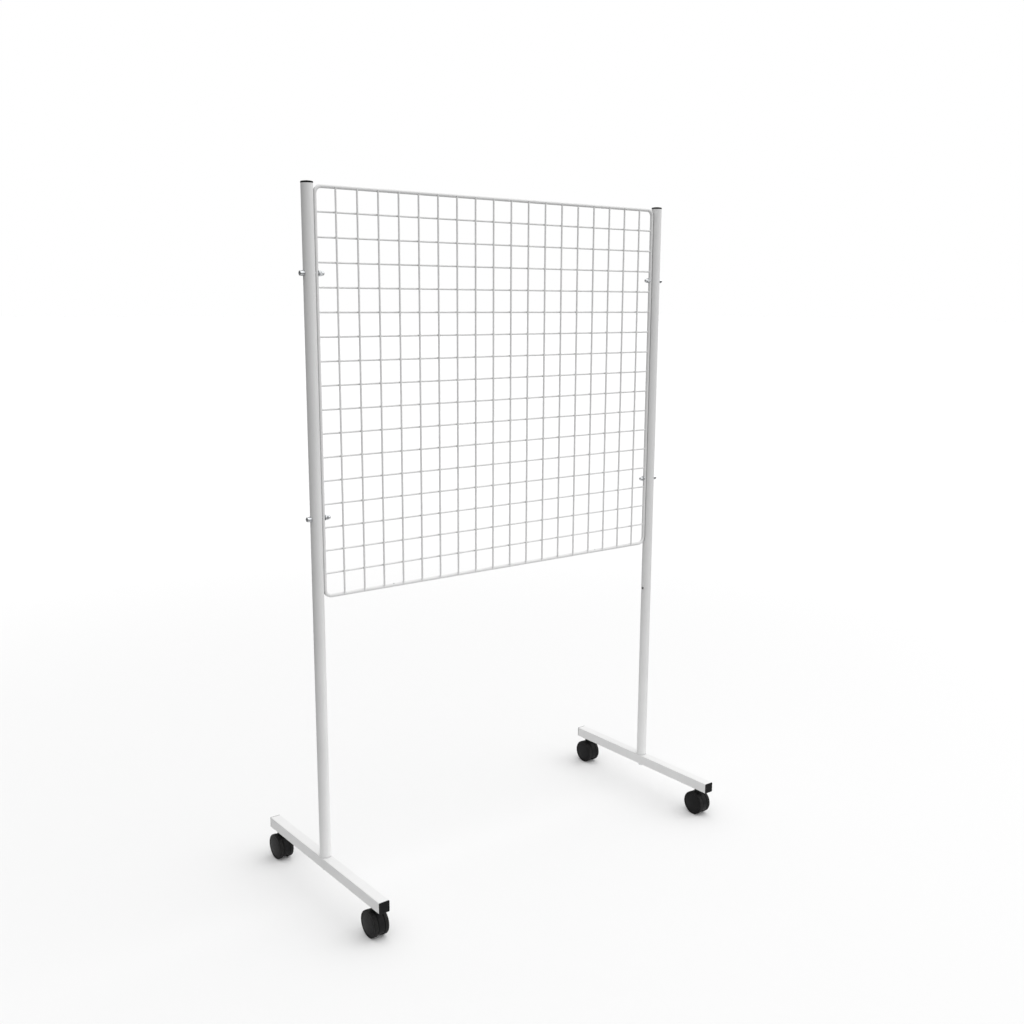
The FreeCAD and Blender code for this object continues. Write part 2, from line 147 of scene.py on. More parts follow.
COVER_R = (high("front_left_left_cover").z - low("front_left_left_cover").z) / 2
COVER_T = high("front_left_left_cover").x - low("front_left_left_cover").x
AXLE_R = (high("front_left_axle").z - low("front_left_axle").z) / 2


# ---------------------------------------------------------------- settings a user may change
class GridFinishSettings(bpy.types.PropertyGroup):
    """Colours and gloss of the stand's finishes."""

    powder_colour: FloatVectorProperty(
        name="Powder coat", description="White powder coat on all tube and wire",
        subtype="COLOR", size=3, min=0, max=1, default=(0.77, 0.77, 0.768))
    powder_roughness: FloatProperty(
        name="Powder coat roughness", description="Average roughness of the satin powder coat",
        subtype="FACTOR", min=0, max=1, default=0.42)
    cap_colour: FloatVectorProperty(
        name="Cap plastic", description="Black moulded caps on the posts and feet",
        subtype="COLOR", size=3, min=0, max=1, default=(0.0045, 0.0045, 0.0048))
    hood_colour: FloatVectorProperty(
        name="Hood nylon", description="Black nylon of the caster hoods and wheel covers",
        subtype="COLOR", size=3, min=0, max=1, default=(0.0050, 0.0050, 0.0053))
    wheel_colour: FloatVectorProperty(
        name="Wheel nylon", description="Black nylon of the wheels and their treads",
        subtype="COLOR", size=3, min=0, max=1, default=(0.0042, 0.0042, 0.0045))
    zinc_colour: FloatVectorProperty(
        name="Zinc plate", description="Bright zinc on bolts, washers and cap nuts",
        subtype="COLOR", size=3, min=0, max=1, default=(0.70, 0.715, 0.73))
    steel_colour: FloatVectorProperty(
        name="Plain steel", description="Stems, axles, clips and plugs",
        subtype="COLOR", size=3, min=0, max=1, default=(0.52, 0.53, 0.54))


class GridDetailSettings(bpy.types.PropertyGroup):
    """Sizes of the small shapes added to the frame."""

    nugget_radius: FloatProperty(
        name="Crossing weld radius", description="Reach of the weld where two wires cross",
        subtype="DISTANCE", unit="LENGTH", min=0.5 * MM, max=4 * MM, default=2.3 * MM)
    nugget_depth: FloatProperty(
        name="Crossing weld depth", description="Half the depth of that weld along the panel's normal",
        subtype="DISTANCE", unit="LENGTH", min=0.3 * MM, max=3 * MM, default=1.3 * MM)
    bead_radius: FloatProperty(
        name="End weld radius", description="Reach of the bead round a wire's end on the frame tube",
        subtype="DISTANCE", unit="LENGTH", min=2 * MM, max=5 * MM, default=2.6 * MM)
    bead_height: FloatProperty(
        name="End weld height", description="How far that bead climbs along the wire",
        subtype="DISTANCE", unit="LENGTH", min=0.2 * MM, max=5 * MM, default=1.7 * MM)
    cap_edge: FloatProperty(
        name="Foot cap edge", description="Rounding of the foot cap's outer rim",
        subtype="DISTANCE", unit="LENGTH", min=0.1 * MM, max=2 * MM, default=0.8 * MM)
    cap_recess: FloatProperty(
        name="Foot cap recess", description="Depth of the shallow dish in the foot cap's face",
        subtype="DISTANCE", unit="LENGTH", min=0, max=1.5 * MM, default=0.5 * MM)
    tread_crown: FloatProperty(
        name="Tread crown", description="How much lower the tread is at its edges than at its middle",
        subtype="DISTANCE", unit="LENGTH", min=0, max=1 * MM, default=0.15 * MM)
    round_segments: IntProperty(
        name="Segments", description="Segments round a wheel; small pieces take a share of them",
        min=24, max=192, default=96)


class GridStageSettings(bpy.types.PropertyGroup):
    """Camera, floor and light."""

    camera_place: FloatVectorProperty(
        name="Camera place", description="Where the camera stands",
        subtype="TRANSLATION", unit="LENGTH", size=3, default=(-1.6023, -2.1257, 1.3156))
    camera_heading: FloatProperty(
        name="Heading", description="Turn of the view to the right of +Y",
        subtype="ANGLE", unit="ROTATION", default=math.radians(38.095))
    camera_tilt: FloatProperty(
        name="Tilt", description="Drop of the view below level",
        subtype="ANGLE", unit="ROTATION", default=math.radians(11.034))
    camera_roll: FloatProperty(
        name="Roll", description="Anticlockwise turn of the camera about its own view",
        subtype="ANGLE", unit="ROTATION", default=math.radians(0.397))
    camera_lens: FloatProperty(
        name="Focal length", description="On a 36 mm sensor", unit="CAMERA", default=40.073)
    camera_shift: FloatVectorProperty(
        name="Shift", description="Sideways and upward shift of the picture",
        size=2, default=(-0.0097, 0.01052))
    floor_size: FloatProperty(
        name="Floor size", description="Side of the square floor",
        subtype="DISTANCE", unit="LENGTH", min=4, max=400, default=160)
    surround_base: FloatProperty(
        name="Surround", description="Brightness of the surround at the horizon, straight ahead",
        min=0, max=5, default=0.50)
    surround_rise: FloatProperty(
        name="Rise", description="How much brighter the surround is overhead",
        min=0, max=5, default=0.95)
    surround_lean: FloatProperty(
        name="Lean to the right", description="How much brighter its right is, and darker its left",
        min=0, max=2, default=0.58)


# ---------------------------------------------------------------- surfaces on a grid
def grid_faces(rows, columns, rows_wrap):
    """Quads over a grid of points numbered row by row, whose columns always run round and close."""
    r, c = np.meshgrid(np.arange(rows if rows_wrap else rows - 1), np.arange(columns), indexing="ij")
    r_next, c_next = (r + 1) % rows, (c + 1) % columns
    corners = [r * columns + c, r * columns + c_next, r_next * columns + c_next, r_next * columns + c]
    return np.stack(corners, axis=-1).reshape(-1, 4)


def polar_grid(radii, heights, segments):
    """Rings about the Z axis: point (i, j) is at radius radii[i, j], angle 2 pi j / segments
    and height heights[i, j]; either may have one column, the same all the way round."""
    angle = 2 * np.pi * np.arange(segments) / segments
    radii, heights = np.atleast_2d(radii), np.atleast_2d(heights)
    shape = (len(radii), segments)
    x = radii * np.cos(angle)
    y = radii * np.sin(angle)
    return np.stack([np.broadcast_to(v, shape) for v in (x, y, heights)], axis=-1)


def turned(profile, segments):
    """A profile of (radius, height) rows carried once round the Z axis."""
    profile = np.asarray(profile, float)
    return polar_grid(profile[:, :1], profile[:, 1:], segments)


def rounded_square_loft(half_sides, corner_radii, heights, steps=6):
    """Rings of rounded squares about Z. Each corner is a quarter circle of the ring's corner radius
    about a point that far in from both sides; rings are joined point to point."""
    quarter = np.linspace(0, np.pi / 2, steps + 1)
    angle = (np.arange(4)[:, None] * np.pi / 2 + quarter).ravel()
    corner = np.repeat([[1, 1], [-1, 1], [-1, -1], [1, -1]], steps + 1, axis=0)
    half, radius = np.asarray(half_sides)[:, None], np.asarray(corner_radii)[:, None]
    x = corner[:, 0] * (half - radius) + radius * np.cos(angle)
    y = corner[:, 1] * (half - radius) + radius * np.sin(angle)
    z = np.broadcast_to(np.asarray(heights)[:, None], x.shape)
    return np.stack([x, y, z], axis=-1)


def hexagon_radius(across_flats, segments):
    """Distance from a hexagon's centre to its side at each angle: half the flats over the cosine
    of the angle from the nearest flat's middle."""
    angle = 2 * np.pi * np.arange(segments) / segments
    from_flat = (angle + np.pi / 6) % (np.pi / 3) - np.pi / 6
    return across_flats / 2 / np.cos(from_flat)


def arc(centre, radius, start, stop, steps):
    """Points (radius, height) on a round of a profile, from angle start to stop in degrees."""
    angle = np.radians(np.linspace(start, stop, steps + 1))
    return np.column_stack([centre[0] + radius * np.cos(angle), centre[1] + radius * np.sin(angle)])


def aimed(points, axis, place):
    """Turns local +Z to `axis` and moves the origin to `place`."""
    forward = np.asarray(axis, float)
    side = np.array([0.0, 1.0, 0.0]) if abs(forward[1]) < 0.5 else np.array([0.0, 0.0, 1.0])
    third = np.cross(forward, side)
    return points @ np.stack([side, third, forward]) + np.asarray(place, float)


def repeated(points, places):
    """Copies of a grid of points, one about each place."""
    return [points + place for place in np.asarray(places, float)]


def piece_from_grids(name, grids, rows_wrap=False, smooth_below=35, rings=None):
    """One object from closed grids. Points that fall together, as at a pole, are merged.
    `rings` gives a value for each point, kept as the attribute ring_distance."""
    rows, columns = grids[0].shape[:2]
    faces = grid_faces(rows, columns, rows_wrap)
    points = np.concatenate([g.reshape(-1, 3) for g in grids])
    all_faces = np.concatenate([faces + i * rows * columns for i in range(len(grids))])
    mesh = bpy.data.meshes.new(name)
    mesh.from_pydata(points.tolist(), [], all_faces.tolist())
    if rings is not None:
        attribute = mesh.attributes.new("ring_distance", "FLOAT", "POINT")
        attribute.data.foreach_set("value", np.tile(rings.ravel(), len(grids)).astype(np.float32))
    shape = bmesh.new()
    shape.from_mesh(mesh)
    bmesh.ops.remove_doubles(shape, verts=shape.verts, dist=MERGE_DISTANCE)
    bmesh.ops.recalc_face_normals(shape, faces=shape.faces)
    shape.to_mesh(mesh)
    shape.free()
    mesh.shade_smooth()
    mesh.set_sharp_from_angle(angle=math.radians(smooth_below))
    piece = bpy.data.objects.new(name, mesh)
    bpy.context.scene.collection.objects.link(piece)
    return piece


def dress(piece, body, slot, finish, *stands_for):
    """Puts a piece on its body, gives it its finish and hides the nodes it stands for."""
    piece.data.materials.clear()
    piece.data.materials.append(finish)
    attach(piece, body)
    if stands_for:
        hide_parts(*stands_for)


# ---------------------------------------------------------------- finishes
class Finish:
    """A material with one Principled shader, and short calls for the nodes that feed it."""

    def __init__(self, name):
        self.material = bpy.data.materials.new(name)
        self.material.use_nodes = True
        self.tree = self.material.node_tree
        self.tree.nodes.clear()
        self.shader = self.add("ShaderNodeBsdfPrincipled")
        output = self.add("ShaderNodeOutputMaterial")
        self.link(self.shader.outputs["BSDF"], output.inputs["Surface"])
        self.place = self.add("ShaderNodeTexCoord").outputs["Object"]

    def add(self, kind, **values):
        node = self.tree.nodes.new(kind)
        for key, value in values.items():
            if hasattr(node, key):
                setattr(node, key, value)
            else:
                node.inputs[key.replace("_", " ").title()].default_value = value
        return node

    def link(self, source, target):
        self.tree.links.new(source, target)

    def set(self, socket, value):
        self.shader.inputs[socket].default_value = value

    def noise(self, scale, detail=3.0, roughness=0.5, stretch=None):
        """Noise of about 1 / scale metres, in object coordinates; stretch scales each axis."""
        node = self.add("ShaderNodeTexNoise", Scale=scale, Detail=detail, Roughness=roughness)
        source = self.place
        if stretch:
            mapping = self.add("ShaderNodeMapping")
            mapping.inputs["Scale"].default_value = stretch
            self.link(self.place, mapping.inputs["Vector"])
            source = mapping.outputs["Vector"]
        self.link(source, node.inputs["Vector"])
        return node.outputs["Fac"]

    def span(self, value, to_low, to_high, from_low=0.3, from_high=0.7):
        """Maps a value's middle range to another range, held at its ends."""
        node = self.add("ShaderNodeMapRange")
        for socket, number in (("From Min", from_low), ("From Max", from_high),
                               ("To Min", to_low), ("To Max", to_high)):
            node.inputs[socket].default_value = number
        self.link(value, node.inputs["Value"])
        return node.outputs["Result"]

    def blend(self, share, first, second):
        """Mixes two colours; either may be a colour or a socket."""
        node = self.add("ShaderNodeMix", data_type="RGBA")
        self.link(share, node.inputs["Factor"])
        for name, colour in (("A", first), ("B", second)):
            socket = [s for s in node.inputs if s.name == name and s.type == "RGBA"][0]
            if isinstance(colour, bpy.types.NodeSocket):
                self.link(colour, socket)
            else:
                socket.default_value = (*colour, 1)
        return [s for s in node.outputs if s.type == "RGBA"][0]

    def arithmetic(self, operation, first, second):
        node = self.add("ShaderNodeMath", operation=operation)
        for socket, value in zip(node.inputs, (first, second)):
            if isinstance(value, bpy.types.NodeSocket):
                self.link(value, socket)
            else:
                socket.default_value = value
        return node.outputs["Value"]

    def colour(self, source):
        self.link(source, self.shader.inputs["Base Color"])

    def roughness(self, source):
        self.link(source, self.shader.inputs["Roughness"])

    def bump(self, heights):
        """Adds one bump after another: each entry is (height socket, strength, depth in metres)."""
        normal = None
        for height, strength, depth in heights:
            node = self.add("ShaderNodeBump", Strength=strength, Distance=depth)
            self.link(height, node.inputs["Height"])
            if normal is not None:
                self.link(normal, node.inputs["Normal"])
            normal = node.outputs["Normal"]
        self.link(normal, self.shader.inputs["Normal"])


def toned(colour, factor):
    return tuple(min(1.0, c * factor) for c in colour)


def powder_coat():
    """Satin white powder coat: faint uneven tone, orange-peel skin, a little handling dust, and
    painted shade that darkens its crevices and joints.
    """
    settings = bpy.context.scene.grid_finish
    base = tuple(settings.powder_colour)
    finish = Finish("powder_coat_white")
    tone = finish.span(finish.noise(9, 4), 0, 1)
    clean = finish.blend(tone, toned(base, 0.975), toned(base, 1.02))
    dust = finish.span(finish.noise(55, 6, 0.65, stretch=(1, 1, 0.25)), 0, 0.10, 0.52, 0.74)
    dusty = finish.blend(dust, clean, toned(base, 0.80))
    # Painted shade: where ambient occlusion finds crevices, joints and the undersides beside other
    # parts, the colour is darkened towards 30 per cent of the base.
    open_air = finish.add("ShaderNodeAmbientOcclusion", Distance=6 * MM).outputs["AO"]
    corner = finish.span(open_air, 0.62, 0, 0.25, 0.85)
    finish.colour(finish.blend(corner, dusty, toned(base, 0.30)))
    rough = settings.powder_roughness
    finish.roughness(finish.span(finish.noise(30, 3), rough - 0.06, rough + 0.06))
    peel = finish.noise(700, 2, 0.45)
    ripple = finish.noise(140, 2, 0.5)
    finish.bump([(ripple, 0.18, 0.06 * MM), (peel, 0.22, 0.03 * MM)])
    finish.set("Specular IOR Level", 0.45)
    return finish.material


def moulded_plastic(name, colour, roughness, grain_scale, specular):
    """Black moulded plastic: fine spark-eroded grain, slightly greyer where it is rubbed."""
    finish = Finish(name)
    rubbed = finish.span(finish.noise(120, 5, 0.6), 0, 0.55, 0.50, 0.74)
    mottle = finish.span(finish.noise(40, 3), 0, 1)
    plain = finish.blend(mottle, toned(colour, 0.85), toned(colour, 1.18))
    finish.colour(finish.blend(rubbed, plain, toned(colour, 1.9)))
    finish.roughness(finish.span(finish.noise(180, 4), roughness - 0.07, roughness + 0.07))
    grain = finish.noise(grain_scale, 2, 0.5)
    finish.bump([(grain, 0.30, 0.04 * MM)])
    finish.set("Specular IOR Level", specular)
    return finish.material


def wheel_nylon():
    """Wheel nylon: fine turned rings on the faces, and a tread scuffed grey where it rolls."""
    settings = bpy.context.scene.grid_finish
    colour = tuple(settings.wheel_colour)
    finish = Finish("wheel_nylon_black")
    distance = finish.add("ShaderNodeAttribute", attribute_name="ring_distance").outputs["Fac"]
    tread = finish.span(distance, 0, 1, WHEEL_R - 1.2 * MM, WHEEL_R - 0.3 * MM)
    scuff = finish.span(finish.noise(260, 6, 0.7), 0.15, 0.95, 0.42, 0.68)
    worn = finish.arithmetic("MULTIPLY", tread, scuff)
    mottle = finish.span(finish.noise(60, 3), 0, 1)
    plain = finish.blend(mottle, toned(colour, 0.85), toned(colour, 1.2))
    finish.colour(finish.blend(worn, plain, (0.022, 0.0215, 0.021)))
    smooth = finish.span(finish.noise(150, 4), 0.40, 0.52)
    finish.roughness(finish.arithmetic("ADD", smooth, finish.arithmetic("MULTIPLY", worn, 0.22)))
    rings = finish.arithmetic("SINE", finish.arithmetic("MULTIPLY", distance, 9000), 0)
    grain = finish.noise(1100, 2, 0.5)
    finish.bump([(rings, 0.10, 0.01 * MM), (grain, 0.28, 0.04 * MM)])
    finish.set("Specular IOR Level", 0.14)
    return finish.material


def zinc_plate():
    """Bright zinc: faint blue-grey bloom, fine tumbling marks and slightly uneven gloss."""
    colour = tuple(bpy.context.scene.grid_finish.zinc_colour)
    finish = Finish("zinc_plate_bright")
    bloom = finish.span(finish.noise(320, 5, 0.6), 0, 1)
    finish.colour(finish.blend(bloom, toned(colour, 0.88), toned(colour, 1.06)))
    finish.roughness(finish.span(finish.noise(900, 4), 0.20, 0.33))
    finish.bump([(finish.noise(1500, 3, 0.6), 0.16, 0.015 * MM)])
    finish.set("Metallic", 1.0)
    return finish.material


def plain_steel():
    """Dull plated steel with drawn lines along the stand's height."""
    colour = tuple(bpy.context.scene.grid_finish.steel_colour)
    finish = Finish("plain_steel_dull")
    drawn = finish.noise(900, 4, 0.6, stretch=(1, 1, 0.08))
    finish.colour(finish.blend(finish.span(drawn, 0, 1), toned(colour, 0.85), toned(colour, 1.05)))
    finish.roughness(finish.span(finish.noise(400, 3), 0.34, 0.48))
    finish.bump([(drawn, 0.2, 0.02 * MM)])
    finish.set("Metallic", 1.0)
    return finish.material


def finish_for(slot):
    """The one material of a slot, made the first time it is asked for."""
    settings = bpy.context.scene.grid_finish
    makers = {
        "powder_coat": ("powder_coat_white", powder_coat),
        "black_plastic": ("cap_plastic_black", lambda: moulded_plastic(
            "cap_plastic_black", tuple(settings.cap_colour), roughness=0.48, grain_scale=1300,
            specular=0.14)),
        "hood_nylon": ("hood_nylon_black", lambda: moulded_plastic(
            "hood_nylon_black", tuple(settings.hood_colour), roughness=0.46, grain_scale=900,
            specular=0.15)),
        "wheel_nylon": ("wheel_nylon_black", wheel_nylon),
        "zinc_plate": ("zinc_plate_bright", zinc_plate),
        "plain_steel": ("plain_steel_dull", plain_steel),
    }
    name, maker = makers[slot]
    return bpy.data.materials.get(name) or maker()


# ---------------------------------------------------------------- operators: finishes and welds
class GRID_OT_coat_frame(bpy.types.Operator):
    """Gives every node of the frame the finish of its material slot"""

    bl_idname = "grid_panel.coat_frame"
    bl_label = "Coat Tubes and Fittings"

    def execute(self, context):
        for part in frame["record"]["subparts"]:
            node = frame["nodes"][part["node"]]
            finish = finish_for(part["material_slot"])
            if not node.material_slots:
                raise RuntimeError(part["node"] + " has no material slot")
            for socket in node.material_slots:
                socket.material = finish
        return {"FINISHED"}


class GRID_OT_crossing_welds(bpy.types.Operator):
    """Adds the flattened weld where each upright wire crosses a level wire"""

    bl_idname = "grid_panel.crossing_welds"
    bl_label = "Crossing Welds"

    def execute(self, context):
        settings = context.scene.grid_detail
        # an ellipsoid: the cosine of the latitude is the ring's radius and its sine the height
        latitude = np.radians(np.linspace(-90, 90, 6))[:, None]
        ball = polar_grid(np.cos(latitude), np.sin(latitude), 8)
        blob = ball * (settings.nugget_radius, settings.nugget_radius, settings.nugget_depth)
        blob = aimed(blob, (0, -1, 0), (0, (UPRIGHT_Y + LEVEL_Y) / 2, 0))
        x, z = np.meshgrid(UPRIGHT_XS, LEVEL_ZS)
        places = np.column_stack([x.ravel(), np.zeros(x.size), z.ravel()])
        piece = piece_from_grids("crossing_welds", repeated(blob, places), smooth_below=80)
        dress(piece, "root", "powder_coat", finish_for("powder_coat"))
        return {"FINISHED"}


def end_bead(offset, settings, segments=14):
    """A bead round a wire that butts onto a tube, about the wire's axis, with the tube's centre
    line at height zero. Its rings shrink from the bead's reach to the wire while they climb as the
    square of the way in; each ring follows the tube's round surface, which at a distance s from
    its centre plane stands at the square root of R squared less s squared."""
    reach, root_depth, edge_depth = settings.bead_radius, -1.2 * MM, -0.6 * MM
    throat, tube_edge = 0.98 * WIRE_R, 0.985 * FRAME_R
    share = np.linspace(0, 1, 6)
    ring = reach + (throat - reach) * share
    radii = np.concatenate([[0, reach], ring, [0]])[:, None]
    climb = settings.bead_height * share ** 2
    lift = np.concatenate([[root_depth, edge_depth], climb, [settings.bead_height]])[:, None]
    angle = 2 * np.pi * np.arange(segments) / segments
    across = np.clip(offset + radii * np.sin(angle), -tube_edge, tube_edge)
    surface = np.sqrt(FRAME_R ** 2 - across ** 2)
    return polar_grid(radii, surface + lift, segments)


class GRID_OT_end_welds(bpy.types.Operator):
    """Adds the small bead where each wire meets the frame tube"""

    bl_idname = "grid_panel.end_welds"
    bl_label = "Wire End Welds"

    def execute(self, context):
        settings = context.scene.grid_detail
        grids = []
        upright_bead = end_bead(UPRIGHT_Y, settings)
        level_bead = end_bead(LEVEL_Y, settings)
        for tube_z, away in ((TOP_TUBE_Z, -1), (BOTTOM_TUBE_Z, 1)):
            bead = upright_bead * (1, 1, away)
            places = np.column_stack([UPRIGHT_XS, np.full(len(UPRIGHT_XS), UPRIGHT_Y),
                                      np.full(len(UPRIGHT_XS), tube_z)])
            grids += repeated(bead, places)
        for side in (LEFT, RIGHT):
            bead = level_bead[..., [2, 1, 0]] * (-side, 1, 1)
            places = np.column_stack([np.full(len(LEVEL_ZS), side * SIDE_TUBE_X),
                                      np.full(len(LEVEL_ZS), LEVEL_Y), LEVEL_ZS])
            grids += repeated(bead, places)
        piece = piece_from_grids("wire_end_welds", grids, smooth_below=60)
        dress(piece, "root", "powder_coat", finish_for("powder_coat"))
        return {"FINISHED"}


# ---------------------------------------------------------------- operators: caps
class GRID_OT_post_caps(bpy.types.Operator):
    """Makes the domed caps on the posts' tops"""

    bl_idname = "grid_panel.post_caps"
    bl_label = "Post Caps"

    def execute(self, context):
        segments = context.scene.grid_detail.round_segments
        rim_r = high("left_post_cap").y
        height = high("left_post_cap").z - POST_TOP
        plug_r = POST_R - 1.7 * MM
        plug_low = low("left_post_cap").z - POST_TOP
        plug_inner_r, plug_roof = plug_r - 1.8 * MM, -2 * MM
        lead_in, lead_height = 0.6 * MM, 1.5 * MM
        seat, rim_edge = 0.02 * MM, 0.25 * MM
        corner = 0.9 * MM
        dome_edge = height - 2.3 * MM
        crown = np.linspace(0, 1, 12)[1:, None]
        dome = np.column_stack([
            (rim_r - corner) * (1 - crown),
            dome_edge + corner + (height - dome_edge - corner) * np.sin(crown * np.pi / 2)])
        profile = np.concatenate([
            [[0, plug_roof], [plug_inner_r, plug_roof], [plug_inner_r, plug_low],
             [plug_r - lead_in, plug_low], [plug_r, plug_low + lead_height], [plug_r, seat],
             [rim_r - rim_edge, seat], [rim_r, seat + rim_edge]],
            arc((rim_r - corner, dome_edge), corner, 0, 90, 8), dome])
        for name, side in SIDES.items():
            grid = turned(profile, segments) + (side * POST_X, 0, POST_TOP)
            piece = piece_from_grids(name + "_post_cap_dome", [grid], smooth_below=50)
            dress(piece, "root", "black_plastic", finish_for("black_plastic"), name + "_post_cap")
        return {"FINISHED"}


class GRID_OT_foot_caps(bpy.types.Operator):
    """Makes the square end caps of the feet, with a rounded rim round a shallow dish"""

    bl_idname = "grid_panel.foot_caps"
    bl_label = "Foot Caps"

    def execute(self, context):
        settings = context.scene.grid_detail
        half, corner, inner_corner = FOOT_SIDE / 2, 2 * MM, 1.2 * MM
        thick = high("rear_left_foot_cap").y - FOOT_END
        plug_half, plug_low = half - 1.6 * MM, low("rear_left_foot_cap").y - FOOT_END
        plug_hollow, plug_roof = plug_half - 1.8 * MM, -1 * MM
        pole, seat, back_edge = 0.01 * MM, 0.02 * MM, 0.15 * MM
        edge, dish = settings.cap_edge, settings.cap_recess
        rim_inner, dish_floor = half - 2.2 * MM, thick - dish
        turn = np.radians(np.linspace(0, 90, 6))
        plug_halves = [pole, plug_hollow, plug_hollow, plug_half, plug_half, half - back_edge, half]
        plug_heights = [plug_roof, plug_roof, plug_low, plug_low, seat, seat, back_edge]
        dish_halves = [rim_inner + 0.2 * MM, rim_inner, rim_inner - 0.25 * MM,
                       rim_inner - 0.7 * MM, rim_inner - 0.95 * MM, pole]
        dish_heights = [thick, thick, thick - 0.12 * MM, dish_floor, dish_floor, dish_floor]
        halves = np.concatenate([plug_halves, half - edge * (1 - np.cos(turn)), dish_halves])
        heights = np.concatenate([plug_heights, thick - edge + edge * np.sin(turn), dish_heights])
        corners = np.minimum(np.where(halves < half - inner_corner, inner_corner, corner), halves)
        flange = rounded_square_loft(halves, corners, heights)
        for side_name, side in SIDES.items():
            for end_name, end in ENDS.items():
                place = (side * POST_X, end * FOOT_END, FOOT_BOTTOM + half)
                grid = aimed(flange, (0, end, 0), place)
                node = f"{end_name}_{side_name}_foot_cap"
                piece = piece_from_grids(node + "_dished", [grid], smooth_below=40)
                dress(piece, "root", "black_plastic", finish_for("black_plastic"), node)
        return {"FINISHED"}


# ---------------------------------------------------------------- operators: fasteners
def ring_profile(inner, outer, thickness, edge):
    """A flat ring with rounded outer edges, as a closed profile from the bore outwards."""
    low_edge = arc((outer - edge, edge), edge, -90, 0, 4)
    high_edge = arc((outer - edge, thickness - edge), edge, 0, 90, 4)
    return np.concatenate([[[inner, 0.1 * MM], [inner + 0.1 * MM, 0]], low_edge, high_edge,
                           [[inner + 0.1 * MM, thickness], [inner, thickness - 0.1 * MM]]])


def hexagon_block(across_flats, height, chamfer_angle, segments, both_ends):
    """Rings of a hexagon whose corners are cut by a cone: at each height the radius is the
    hexagon's, or the cone's if that is less. The cone starts at the flats' radius at the end."""
    outline = hexagon_radius(across_flats, segments)
    start = 0.97 * across_flats / 2
    slope = 1 / math.tan(math.radians(chamfer_angle))
    rise = (across_flats / math.sqrt(3) - start) / slope
    top = height - rise * np.linspace(1, 0, 7)
    bottom = rise * np.linspace(0, 1, 7) if both_ends else np.array([0.0])
    heights = np.concatenate([bottom, top])
    from_top = start + (height - heights) * slope
    from_bottom = start + heights * slope if both_ends else np.full(len(heights), 1.0)
    limit = np.minimum(from_top, from_bottom)[:, None]
    return np.minimum(outline, limit), heights[:, None]


class GRID_OT_panel_bolts(bpy.types.Operator):
    """Makes the four round-headed bolts, each with a hexagon socket in its head"""

    bl_idname = "grid_panel.panel_bolts"
    bl_label = "Panel Bolts"

    def execute(self, context):
        segments = 48
        shank_r, tip_chamfer = 3 * MM, 0.6 * MM
        seat_edge, head_round, mouth_r = 0.5 * MM, 2 * MM, 3.3 * MM
        socket_flats, socket_depth, drill_depth = 5 * MM, 4 * MM, 1 * MM
        lip_width, lip_depth = 0.25 * MM, 0.3 * MM
        head = BOLT_END - HEAD_WASHER_OUT
        tip = inner_end("panel_bolts") - HEAD_WASHER_OUT
        hexagon = hexagon_radius(socket_flats, segments)
        outside = np.concatenate([
            [[0, tip], [shank_r - tip_chamfer, tip], [shank_r, tip + tip_chamfer], [shank_r, 0],
             [BOLT_HEAD_R - seat_edge, 0], [BOLT_HEAD_R, seat_edge]],
            arc((BOLT_HEAD_R - head_round, head - head_round), head_round, 0, 90, 10),
            [[mouth_r, head]]])
        radii = np.concatenate([
            np.repeat(outside[:, :1], segments, axis=1),
            [hexagon + lip_width, hexagon, hexagon, np.zeros(segments)]])
        socket_floor = head - socket_depth
        socket_heights = [head, head - lip_depth, socket_floor, socket_floor - drill_depth]
        heights = np.concatenate([outside[:, 1], socket_heights])
        bolt = polar_grid(radii, heights[:, None], segments)
        grids = [aimed(bolt, (side, 0, 0), (side * HEAD_WASHER_OUT, 0, z))
                 for side in (LEFT, RIGHT) for z in BOLT_ZS]
        piece = piece_from_grids("panel_bolts_socket_head", grids, smooth_below=38)
        dress(piece, "root", "zinc_plate", finish_for("zinc_plate"), "panel_bolts")
        return {"FINISHED"}


class GRID_OT_washers(bpy.types.Operator):
    """Makes the flat washers under the bolt heads, the cap nuts and the foot bolts"""

    bl_idname = "grid_panel.washers"
    bl_label = "Washers"

    def execute(self, context):
        finish = finish_for("zinc_plate")
        bore_r, foot_bore_r, edge = 3.2 * MM, 4.25 * MM, 0.35 * MM
        flat = turned(ring_profile(bore_r, WASHER_R, WASHER_T, edge), 48)
        for node, seat in (("bolt_head_washers", HEAD_WASHER_OUT - WASHER_T),
                           ("cap_nut_washers", NUT_WASHER_OUT - WASHER_T)):
            grids = [aimed(flat, (side, 0, 0), (side * seat, 0, z))
                     for side in (LEFT, RIGHT) for z in BOLT_ZS]
            piece = piece_from_grids(node + "_flat", grids, rows_wrap=True, smooth_below=35)
            dress(piece, "root", "zinc_plate", finish, node)
        thick = FOOT_BOTTOM - FOOT_BOLT_TOP
        wide = turned(ring_profile(foot_bore_r, FOOT_WASHER_R, thick, edge), 48)
        grids = [wide + (side * POST_X, 0, FOOT_BOLT_TOP) for side in (LEFT, RIGHT)]
        piece = piece_from_grids("foot_bolt_washers_flat", grids, rows_wrap=True, smooth_below=35)
        dress(piece, "root", "zinc_plate", finish, "foot_bolt_washers")
        return {"FINISHED"}


